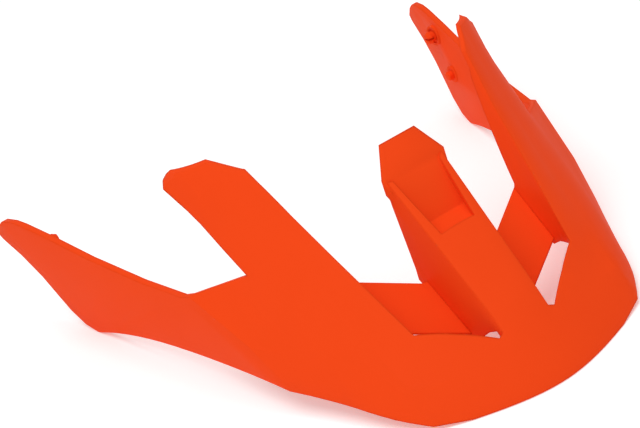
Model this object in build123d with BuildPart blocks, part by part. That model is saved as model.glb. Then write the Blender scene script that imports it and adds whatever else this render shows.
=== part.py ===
from build123d import *
import os

os.makedirs("parts", exist_ok=True)

# All lengths in millimetres. -Y is the front, +Z is up, X runs from side to side.
# The visor stands on its front lip and on the lower corners of its two arms, at z = 0.

# Shell
wall = 2.4                  # moulded wall thickness
armWall = 2.8               # wall thickness of the arms
armCornerY = 69.5           # lower corner of an arm, where the visor stands
armCornerHalf = 93.8        # half width at that corner
armSplay = 0.21             # widening of the arms toward the rear, per mm
armLean = 0.03              # widening of the arms upward, per mm
armEndY = 116.4             # rear corner of an arm
armEndZ = 36.5
armTipY = 108.5             # upper rear corner of an arm
armTipZ = 44
sideRise = 10.2             # height of the lower edge halfway along the side
notchY = -33                # inner corner of the notch between arm and prong
notchZ = 46
prongTipY = 3.5             # outer corner of a prong tip
prongTipZ = 75.6
prongPeak = 82.5            # height of the crease at the prong tip
archTop = prongPeak + 9.5    # the arch is drawn up to here, then trimmed

# Side walls of the bays: each runs between a top edge and a foot edge, and each edge is a
# straight line given by (y, x, z) at its rear and at its front.
ridgeWall = (((-57, 11.5, 62.8), (-101, 9.3, 21.5)), ((-60.5, 13.3, 31), (-83.5, 12.5, 15.2)))
prongWall = (((-27, 46.8, 78.4), (-86, 33, 25)), ((-55, 35.5, 37.5), (-74, 34.2, 23)))
bayFrontY = -86             # front edge of the bay at the prong
bayNoseY = -102.5           # front edge of the bay at the ridge

# Vent panels, the lower floors of the bays
panelThick = 2
panelSlope = 0.73           # rise toward the rear, per mm
panelHeight = 34.8          # top face at panelRefY
panelRefY = -57
panelGap = 0.05             # glue gap at the panel edges
ledgeWide = 3               # ledge that carries the panel edge
ledgeThick = 1.6

# Recess and tab of the centre ridge
tabTipY = -49.8
tabTipZ = 74.4
tabTipHalf = 7.4
tabHalf = 11.5
tabWide = 13.1              # half width where the tip's chamfers end
tabChamfer = 5.6
recessFootY = -65.3
recessFootZ = 47.4
recessFrontY = -74.8
recessFrontZ = 45.3
recessHalf = 9.6
recessFrontHalf = 6.8

# Pivot boss, stud and ring
pivotY = 84.7
pivotZ = 37
bossDia = 9
bossFace = armCornerHalf     # inner face of the boss, from the centre plane
socketDia = 6.6
socketDepth = 3.2
flangeThick = 1.2
ringThick = 1.3
studDia = 4.4
studProud = 3.6
barbDia = 5.6
barbLength = 2
tipDia = 3.8
fingerSlit = 1.1
turnGap = 0.05              # radial gap around the turning stud
endGap = 0.1                # end play of the stud flange

# Index peg
pegY = 73.6
pegZ = 22.1
pegDia = 4
pegProud = 2.5
pegSeat = 2.2
pegBossDia = 7.5
pegFace = armCornerHalf - 2.3   # inner face of the peg boss, from the centre plane
pegChamfer = 0.5

# Plan of the arch at each height: height, centre y, (x, y) of the brow, the crease and the
# flank of one half, and the y where the flank runs into the straight arm.
levels = (
    (-8, -120.4, (24, -115.5), (43, -107), (56.5, -84), -58),
    (4, -114.4, (24, -109), (43.5, -100.8), (56.8, -79.8), -56),
    (12, -109, (24, -103), (43.5, -94.5), (58.5, -71), -50),
    (24, -99.5, (24, -93), (46, -76), (62, -54), -38),
    (40, -82.5, (25, -77), (48.5, -57), (64.5, -33), -10),
    (62, -59, (26, -54), (51.5, -34), (65, -12), 15),
    (archTop, -30, (27, -27), (55.5, -6), (69, 16), 50),
)


def armX(y, z):
    return armCornerHalf + armSplay * (y - armCornerY) + armLean * z


def onEdge(edge, y):
    (yA, xA, zA), (yB, xB, zB) = edge
    part = (y - yA) / (yB - yA)
    return xA + part * (xB - xA), zA + part * (zB - zA)


def panelZ(y):
    return panelHeight + panelSlope * (y - panelRefY)


def archPlan(level, skin, sideSkin):
    z, centreY, brow, crease, flank, turnY = level
    rearY = armEndY + 20 + skin
    if z == archTop:
        z += skin
    if z < 0:
        z -= skin
    front = [
        (0, centreY + 1.35 * skin),
        (brow[0] - 0.3 * skin, brow[1] + 1.3 * skin),
        (crease[0] - 0.8 * skin, crease[1] + 0.9 * skin),
    ]
    bulge = ((crease[0] + flank[0]) / 2 + 1, (crease[1] + flank[1]) / 2 - 0.6)
    side = [
        front[2],
        (bulge[0] - skin, bulge[1] + 0.6 * skin),
        (flank[0] - skin, flank[1] + 0.4 * skin),
    ]
    turn = (armX(turnY, z) - sideSkin, turnY)
    rear = (armX(rearY, z) - sideSkin, rearY)
    with BuildSketch(Plane.XY.offset(z)) as plan:
        with BuildLine():
            Spline([(-x, y) for x, y in reversed(front)] + front[1:])
            for half in (1, -1):
                Spline([(half * x, y) for x, y in side])
                Line((half * side[2][0], side[2][1]), (half * turn[0], turnY))
                Line((half * turn[0], turnY), (half * rear[0], rearY))
            Line(rear, (-rear[0], rearY))
        make_face()
    return plan.sketch


def archSolid(skin, sideSkin):
    with BuildPart() as arch:
        loft([archPlan(level, skin, sideSkin) for level in levels], ruled=True)
    return arch.part


def sideProfile(points, xA, xB):
    """Prism across X, from xA to xB, with a profile given as (y, z)."""
    with BuildPart() as prism:
        with BuildSketch(Plane.YZ.offset(xA)):
            with BuildLine():
                Polyline(points, close=True)
            make_face()
        extrude(amount=xB - xA)
    return prism.part


def planProfile(points):
    """Tall prism with a plan given as (x, y)."""
    with BuildPart() as prism:
        with BuildSketch(Plane.XY.offset(-20)):
            with BuildLine():
                Polyline(points, close=True)
            make_face()
        extrude(amount=140)
    return prism.part


def wallCorners(wallEdges, y, shift):
    """Low and high end of a bay wall at y, carried well past its foot and its top."""
    xTop, zTop = onEdge(wallEdges[0], y)
    xFoot, zFoot = onEdge(wallEdges[1], y)
    low = (xFoot - 0.8 * (xTop - xFoot) + shift, zFoot - 0.8 * (zTop - zFoot))
    high = (xTop + 2 * (xTop - xFoot) + shift, zTop + 2 * (zTop - zFoot))
    return low, high


def betweenWalls(grow):
    """Block of one bay between its two walls, grown outward by a distance."""
    ends = []
    for y in (-115, -20):
        inner = wallCorners(ridgeWall, y, -grow)
        outer = wallCorners(prongWall, y, grow)
        with BuildSketch(Plane.XZ.offset(-y)) as section:
            with BuildLine():
                Polyline(inner[0], outer[0], outer[1], inner[1], close=True)
            make_face()
        ends.append(section.sketch)
    with BuildPart() as block:
        loft(ends, ruled=True)
    return block.part


def insideRidge(grow):
    """Block between the two side walls of the centre ridge."""
    ends = []
    for y in (-115, -20):
        low, high = wallCorners(ridgeWall, y, grow)
        with BuildSketch(Plane.XZ.offset(-y)) as section:
            with BuildLine():
                Polyline(low, high, (-high[0], high[1]), (-low[0], low[1]), close=True)
            make_face()
        ends.append(section.sketch)
    with BuildPart() as block:
        loft(ends, ruled=True)
    return block.part


def slab(top, bottom, yA, yB):
    """Sloped slab parallel to the vent panels, offset up from their top face."""
    points = [
        (yA, panelZ(yA) + bottom),
        (yB, panelZ(yB) + bottom),
        (yB, panelZ(yB) + top),
        (yA, panelZ(yA) + top),
    ]
    return sideProfile(points, -60, 60)


def rod(dia, xA, xB, y, z):
    with BuildPart() as rodPart:
        with BuildSketch(Plane.YZ.offset(xA)):
            with Locations((y, z)):
                Circle(dia / 2)
        extrude(amount=xB - xA)
    return rodPart.part


def common(first, *others):
    with BuildPart() as overlap:
        add(first)
        for other in others:
            add(other, mode=Mode.INTERSECT)
    return overlap.part


def without(first, *others):
    with BuildPart() as rest:
        add(first)
        for other in others:
            add(other, mode=Mode.SUBTRACT)
    return rest.part


def bothSides(part):
    return [part, part.mirror(Plane.YZ)]


outerArch = archSolid(0, 0)
innerArch = archSolid(wall, armWall)

# Side view of the lower edge: an arch between the front lip and the arm corner
with BuildPart() as lowerTrim:
    with BuildSketch(Plane.YZ):
        with BuildLine():
            Line((-140, 0), (-108, 0))
            Spline([(-108, 0), (-80, 6), (-50, sideRise - 0.8), (-8, sideRise), (30, 7.8),
                    (armCornerY - 2, 0.2)])
            Polyline((armCornerY - 2, 0.2), (armCornerY, 0), (77, 1.6), (84, 6.6), (95.5, 20.5),
                     (105, 28.5), (114.5, 34.2), (armEndY, armEndZ),
                     (150, armEndZ), (150, -20), (-140, -20), (-140, 0))
        make_face()
    extrude(amount=130, both=True)

# Side view of the upper edge: arm, notch and rear edge of the prong
upperEdge = [(armEndY, armEndZ), (113, 41), (armTipY, armTipZ), (100, 45.2), (93, 45), (76, 43.2),
             (50, 39.5), (18, 37), (-6.5, 36.9), (notchY, notchZ), (prongTipY, prongTipZ),
             (prongTipY + 12, 110),
             (150, 110), (150, armEndZ)]
upperTrim = sideProfile(upperEdge, -130, 130)

# Front view of the prong tips
tipView = [(-120, 66), (-75, 66), (-66.5, prongTipZ), (-63.3, 79.4), (-54, prongPeak), (-46.8, 78.4),
           (-40, 76), (40, 76), (46.8, 78.4), (54, prongPeak), (63.3, 79.4), (66.5, prongTipZ),
           (75, 66), (120, 66), (120, 130), (-120, 130)]
with BuildPart() as tipTrim:
    with BuildSketch(Plane.XZ.offset(-60)):
        with BuildLine():
            Polyline(tipView, close=True)
        make_face()
    extrude(amount=120, both=True)

floorRise = (tabTipZ - recessFootZ) / (tabTipY - recessFootY)
panelDrop = panelThick * (1 + panelSlope**2) ** 0.5
ledgeDrop = panelDrop + ledgeThick * (1 + panelSlope**2) ** 0.5

# Plans and side views that bound the bays, their walls and the vent panels
bayPlan = [(0, bayNoseY), (9.2, bayNoseY + 0.3), (11.5, bayNoseY), (22, -94.8), (33.1, bayFrontY),
           (37, bayFrontY + 2), (80, 0), (80, 20), (0, 20)]
prongWallView = [(-90, 25), (-78, 22), (-74, 19.6), (-68, 21.5), (-55, 31), (-55, 37.5), (-43.5, 53.3),
                 (-31, 70), (-27, 78.4), (-27, 110), (-90, 110)]
ridgeWallView = [(-104, 20.5), (-95, 17), (-88.5, 12), (-84, 11.5), (-60.8, 27), (-60.5, 31), (-55.6, 54),
                 (-54.4, 62), (-55.6, 64.1), (-55.6, 110), (-104, 110)]
panelRear = ((35.5, -54.8), (15, -66))
panelFront = ((33.5, -74.6), (12, -85.8))
panelPlan = [(0, -66), panelRear[1], panelRear[0], (60, -54.8), (60, -74.6), *panelFront, (0, -85.8)]
ridgeOnly = [(0, -130), (21, -130), (21, 20), (0, 20)]
prongOnly = [(21, -130), (80, -130), (80, 20), (21, 20)]

bay = common(betweenWalls(0), planProfile(bayPlan))
walls = without(common(betweenWalls(wall), outerArch), bay)
prongSkin = common(walls, sideProfile(prongWallView, 0, 80), planProfile(prongOnly))
ridgeSkin = common(walls, sideProfile(ridgeWallView, 0, 80), planProfile(ridgeOnly))
ledgePlan = [(0, -66), panelRear[1], panelRear[0], (60, -54.8), (60, -69), (33.5, -69), (12, -80),
             (0, -80)]
ledges = without(
    common(betweenWalls(wall / 2), planProfile(ledgePlan),
           slab(-panelDrop, -ledgeDrop, -100, -40)),
    betweenWalls(-ledgeWide))

# Side view of the tab: a sloped floor plate with a step at its foot
tabUnder = wall * (1 + floorRise**2) ** 0.5 / floorRise
tabView = [(tabTipY, tabTipZ), (recessFootY, recessFootZ), (recessFrontY, recessFrontZ),
           (recessFrontY - 3, recessFrontZ - 2), (recessFrontY, recessFrontZ - wall),
           (recessFootY + tabUnder - 0.6, recessFootZ - wall), (tabTipY + tabUnder, tabTipZ)]
tabPlan = [(-20, -85), (20, -85), (20, -56), (-20, -56)]
tipPlan = [(-tabHalf, -58.5), (tabHalf, -58.5), (tabWide, tabTipY - tabChamfer),
           (tabTipHalf, tabTipY), (-tabTipHalf, tabTipY), (-tabWide, tabTipY - tabChamfer)]
tab = common(sideProfile(tabView, -20, 20), planProfile(tabPlan), insideRidge(-0.6))
tabTip = common(sideProfile(tabView, -20, 20), planProfile(tipPlan))

# Recess above the tab floor, narrowing toward the front
recessView = [(tabTipY + 12, tabTipZ + 12 * floorRise), (recessFootY, recessFootZ),
              (recessFrontY, recessFrontZ), (recessFrontY, 110), (tabTipY + 12, 110)]
recessPlan = [(-recessFrontHalf, recessFrontY - 1), (recessFrontHalf, recessFrontY - 1),
              (recessHalf, -57), (tabHalf + 3, -55), (tabHalf + 3, -30), (-tabHalf - 3, -30),
              (-tabHalf - 3, -55), (-recessHalf, -57)]
recess = common(sideProfile(recessView, -20, 20), planProfile(recessPlan))
behindRidge = [(-55.6, 110), (-55.6, 64.1), (-54.4, 62), (-54.4, 10), (20, 10), (20, 110)]

socketFloor = bossFace + socketDepth
bossRoot = armX(pivotY - bossDia / 2, pivotZ) - 0.6
pegRoot = armX(pegY - pegBossDia / 2, pegZ) - 0.6

with BuildPart() as visor_shell:
    add(outerArch)
    add(innerArch, mode=Mode.SUBTRACT)
    add(lowerTrim.part, mode=Mode.SUBTRACT)
    add(upperTrim, mode=Mode.SUBTRACT)
    add(tipTrim.part, mode=Mode.SUBTRACT)
    add(bothSides(bay), mode=Mode.SUBTRACT)
    add(sideProfile(behindRidge, -20, 20), mode=Mode.SUBTRACT)
    add(bothSides(prongSkin))
    add(bothSides(ridgeSkin))
    add(bothSides(ledges))
    add(tab)
    add(tabTip)
    add(recess, mode=Mode.SUBTRACT)
    add(bothSides(rod(bossDia, bossFace, bossRoot, pivotY, pivotZ)))
    add(bothSides(rod(pegBossDia, pegFace, pegRoot, pegY, pegZ)))
    add(bothSides(rod(socketDia, bossFace - 1, socketFloor, pivotY, pivotZ)), mode=Mode.SUBTRACT)
    add(bothSides(rod(pegDia, pegFace - 1, pegFace + pegSeat, pegY, pegZ)), mode=Mode.SUBTRACT)
visor_shell.part.label = "visor_shell"
export_step(visor_shell.part, "parts/visor_shell.step")

# Wedge that thins the front edge of a vent panel from below
wedgeEnds = []
frontTurn = (panelFront[0][1] - panelFront[1][1]) / (panelFront[0][0] - panelFront[1][0])
for x in (0, 45):
    frontY = panelFront[0][1] + (x - panelFront[0][0]) * frontTurn
    frontZ = panelZ(frontY) - 0.5
    with BuildSketch(Plane.YZ.offset(x)) as wedgeSection:
        with BuildLine():
            Polyline((frontY - 1, frontZ + 0.5), (frontY + 5, frontZ - 2.5), (frontY - 1, frontZ - 8),
                     close=True)
        make_face()
    wedgeEnds.append(wedgeSection.sketch)
with BuildPart() as frontWedge:
    loft(wedgeEnds, ruled=True)
panelBlock = without(common(betweenWalls(-panelGap), planProfile(panelPlan),
                            slab(0, -panelDrop + panelGap, -100, -40)), frontWedge.part)

with BuildPart() as vent_panel_left:
    add(panelBlock)
vent_panel_left.part.label = "vent_panel_left"
export_step(vent_panel_left.part, "parts/vent_panel_left.step")

with BuildPart() as vent_panel_right:
    add(panelBlock.mirror(Plane.YZ))
vent_panel_right.part.label = "vent_panel_right"
export_step(vent_panel_right.part, "parts/vent_panel_right.step")

# Half section of the stud about its own axis: (radius, distance from the tip)
studLength = socketFloor - endGap - bossFace + studProud
shaftTop = studLength - flangeThick
studHalf = [(0, 0), (tipDia / 2, 0), (barbDia / 2, barbLength - 0.4), (barbDia / 2, barbLength),
            (studDia / 2, barbLength), (studDia / 2, shaftTop),
            (socketDia / 2 - turnGap, shaftTop), (socketDia / 2 - turnGap, studLength),
            (0, studLength)]
studPlane = Plane(origin=(bossFace - studProud, pivotY, pivotZ), x_dir=(0, 1, 0), z_dir=(1, 0, 0))


def studSolid():
    with BuildPart() as stud:
        with BuildSketch(Plane.XZ):
            with BuildLine():
                Polyline(studHalf, close=True)
            make_face()
        revolve(axis=Axis.Z)
        with BuildSketch(Plane.XY):
            Rectangle(barbDia + 2, fingerSlit)
        extrude(amount=studProud - 0.8, mode=Mode.SUBTRACT)
    return studPlane.from_local_coords(stud.part)


def ringSolid():
    ringInner = socketFloor - endGap - flangeThick - endGap
    with BuildPart() as ring:
        with BuildSketch(Plane.YZ.offset(ringInner - ringThick)):
            with Locations((pivotY, pivotZ)):
                Circle(socketDia / 2)
                Circle(studDia / 2 + turnGap, mode=Mode.SUBTRACT)
        extrude(amount=ringThick)
    return ring.part


def pegSolid():
    with BuildPart() as peg:
        add(rod(pegDia, pegFace - pegProud, pegFace + pegSeat, pegY, pegZ))
        tipEdge = peg.edges().filter_by(GeomType.CIRCLE).sort_by(Axis.X)[0]
        chamfer(tipEdge, pegChamfer)
    return peg.part


with BuildPart() as pivot_stud_left:
    add(studSolid())
pivot_stud_left.part.label = "pivot_stud_left"
export_step(pivot_stud_left.part, "parts/pivot_stud_left.step")

with BuildPart() as pivot_stud_right:
    add(studSolid().mirror(Plane.YZ))
pivot_stud_right.part.label = "pivot_stud_right"
export_step(pivot_stud_right.part, "parts/pivot_stud_right.step")

with BuildPart() as stud_ring_left:
    add(ringSolid())
stud_ring_left.part.label = "stud_ring_left"
export_step(stud_ring_left.part, "parts/stud_ring_left.step")

with BuildPart() as stud_ring_right:
    add(ringSolid().mirror(Plane.YZ))
stud_ring_right.part.label = "stud_ring_right"
export_step(stud_ring_right.part, "parts/stud_ring_right.step")

with BuildPart() as index_peg_left:
    add(pegSolid())
index_peg_left.part.label = "index_peg_left"
export_step(index_peg_left.part, "parts/index_peg_left.step")

with BuildPart() as index_peg_right:
    add(pegSolid().mirror(Plane.YZ))
index_peg_right.part.label = "index_peg_right"
export_step(index_peg_right.part, "parts/index_peg_right.step")
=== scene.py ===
import math
import bpy
from mathutils import Matrix, Vector

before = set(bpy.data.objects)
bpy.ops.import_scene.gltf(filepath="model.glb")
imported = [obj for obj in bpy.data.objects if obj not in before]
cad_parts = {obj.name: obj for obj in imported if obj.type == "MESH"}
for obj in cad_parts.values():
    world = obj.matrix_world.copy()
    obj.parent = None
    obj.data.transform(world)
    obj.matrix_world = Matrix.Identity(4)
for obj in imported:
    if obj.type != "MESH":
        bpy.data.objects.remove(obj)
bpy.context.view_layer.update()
print("frame loaded")


# A shader socket that takes arithmetic
class Socket:
    def __init__(self, tree, out):
        self.tree = tree
        self.out = out

    def maths(self, kind, other, swap=False):
        node = self.tree.nodes.new("ShaderNodeMath")
        node.operation = kind
        first, second = (1, 0) if swap else (0, 1)
        self.tree.links.new(self.out, node.inputs[first])
        if isinstance(other, Socket):
            self.tree.links.new(other.out, node.inputs[second])
        else:
            node.inputs[second].default_value = other
        return Socket(self.tree, node.outputs[0])

    def __add__(self, other):
        return self.maths("ADD", other)

    def __radd__(self, other):
        return self.maths("ADD", other, True)

    def __mul__(self, other):
        return self.maths("MULTIPLY", other)

    def __rmul__(self, other):
        return self.maths("MULTIPLY", other, True)

    def __sub__(self, other):
        return self.maths("SUBTRACT", other)

    def __rsub__(self, other):
        return self.maths("SUBTRACT", other, True)


# One material's node tree
class Shader:
    def __init__(self, name):
        self.material = bpy.data.materials.new(name)
        self.material.use_nodes = True
        self.tree = self.material.node_tree
        self.surface = self.tree.nodes["Principled BSDF"]

    def node(self, kind, settings=None, out=0, **sockets):
        made = self.tree.nodes.new(kind)
        for key, value in (settings or {}).items():
            setattr(made, key, value)
        for key, value in sockets.items():
            slotName = key.replace("_", " ")
            if isinstance(value, Socket):
                self.tree.links.new(value.out, made.inputs[slotName])
            else:
                made.inputs[slotName].default_value = value
        return Socket(self.tree, made.outputs[out])

    def mix(self, factor, a, b):
        made = self.tree.nodes.new("ShaderNodeMix")
        made.data_type = "RGBA"
        self.tree.links.new(factor.out, made.inputs[0])
        for index, value in ((6, a), (7, b)):
            if isinstance(value, Socket):
                self.tree.links.new(value.out, made.inputs[index])
            else:
                made.inputs[index].default_value = value
        return Socket(self.tree, made.outputs[2])

    def put(self, name, value):
        if isinstance(value, Socket):
            self.tree.links.new(value.out, self.surface.inputs[name])
        else:
            self.surface.inputs[name].default_value = value


# Satin moulded plastic with a fine spark-eroded grain
def plastic(name, settings):
    shade = Shader(name)
    place = shade.node("ShaderNodeTexCoord", out=3)
    grain = shade.node("ShaderNodeTexNoise", Vector=place, Scale=settings["grainScale"], Detail=2.0)
    cloud = shade.node("ShaderNodeTexNoise", Vector=place, Scale=settings["cloudScale"], Detail=3.0)
    shade.put("Base Color", shade.mix(cloud, settings["colour"], settings["shadeColour"]))
    shade.put("Roughness", settings["roughness"] + (cloud - 0.5) * settings["roughSpread"])
    shade.put("Specular IOR Level", settings["specular"])
    shade.put("IOR", settings["ior"])
    rounded = shade.node("ShaderNodeBevel", {"samples": 8}, Radius=settings["edgeRound"])
    bump = shade.node("ShaderNodeBump", Height=grain, Strength=settings["grainDepth"], Distance=0.0001,
                      Normal=rounded)
    shade.put("Normal", bump)
    return shade.material


visorLook = {
    "colour": (0.91, 0.068, 0.010, 1),
    "shadeColour": (0.88, 0.064, 0.009, 1),
    "grainScale": 2200,
    "cloudScale": 45,
    "grainDepth": 0.2,
    "edgeRound": 0.0008,
    "roughness": 0.5,
    "roughSpread": 0.08,
    "specular": 0.2,
    "ior": 1.12,
}
visorPlastic = plastic("visorPlastic", visorLook)
fixingPlastic = plastic("fixingPlastic", {**visorLook, "edgeRound": 0.0002})

for name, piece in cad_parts.items():
    look = visorPlastic if name.startswith(("visor", "vent")) else fixingPlastic
    piece.data.materials.clear()
    piece.data.materials.append(look)
    # Faces that meet below the crease angle shade as one smooth surface
    weld = piece.modifiers.new("weld", "WELD")
    weld.merge_threshold = 0.00001
    if name == "visor_shell":
        flat = piece.modifiers.new("flat", "DECIMATE")
        flat.decimate_type = "DISSOLVE"
        flat.angle_limit = math.radians(0.6)
        edge = piece.modifiers.new("edge", "BEVEL")
        edge.limit_method = "ANGLE"
        edge.angle_limit = math.radians(28)
        edge.width = 0.0005
        edge.segments = 2
        edge.use_clamp_overlap = True
    split = piece.modifiers.new("creases", "EDGE_SPLIT")
    split.split_angle = math.radians(26)
    split.use_edge_sharp = False
    for face in piece.data.polygons:
        face.use_smooth = True
print("materials done")

# Floor and backdrop in one, with soft lights
scene = bpy.context.scene
floor = bpy.data.meshes.new("floor")
floor.from_pydata([(-9, -9, 0), (9, -9, 0), (9, 9, 0), (-9, 9, 0)], [], [(0, 1, 2, 3)])
floorPiece = bpy.data.objects.new("floor", floor)
scene.collection.objects.link(floorPiece)
floorPiece.location.z = -0.0003
floorShade = Shader("floorWhite")
floorShade.put("Base Color", (0.95, 0.95, 0.95, 1))
floorShade.put("Roughness", 0.9)
floorShade.put("Specular IOR Level", 0.0)
floorShade.put("Emission Color", (1, 1, 1, 1))
floorShade.put("Emission Strength", 0.22)
floor.materials.append(floorShade.material)

world = bpy.data.worlds.new("studio")
scene.world = world
world.use_nodes = True
sky = world.node_tree.nodes["Background"]
sky.inputs["Color"].default_value = (1, 1, 1, 1)
sky.inputs["Strength"].default_value = 0.5


def softLight(name, place, aim, size, watts):
    data = bpy.data.lights.new(name, "AREA")
    data.size = size
    data.energy = watts
    lamp = bpy.data.objects.new(name, data)
    scene.collection.objects.link(lamp)
    lamp.location = place
    lamp.rotation_euler = (Vector(aim) - Vector(place)).to_track_quat("-Z", "Y").to_euler()
    return lamp


softLight("overhead", (-0.3, -0.1, 1.5), (0, 0, 0.05), 1.3, 13)
softLight("front", (-0.8, -1.2, 0.7), (0, 0, 0.04), 0.9, 1.5)

cameraLook = {
    "place": (-0.23429, -0.54909, 0.33631),
    "right": (0.82194, -0.48808, -0.29359),
    "up": (0.46470, 0.27661, 0.84115),
    "back": (-0.32934, -0.82781, 0.45417),
    "lens": 101.25,
}
cameraData = bpy.data.cameras.new("camera")
cameraData.lens = cameraLook["lens"]
cameraData.sensor_width = 36
camera = bpy.data.objects.new("camera", cameraData)
scene.collection.objects.link(camera)
turn = Matrix((cameraLook["right"], cameraLook["up"], cameraLook["back"])).transposed().to_4x4()
camera.matrix_world = Matrix.Translation(cameraLook["place"]) @ turn
scene.camera = camera
scene.view_settings.view_transform = "Standard"
print("camera and lights done")
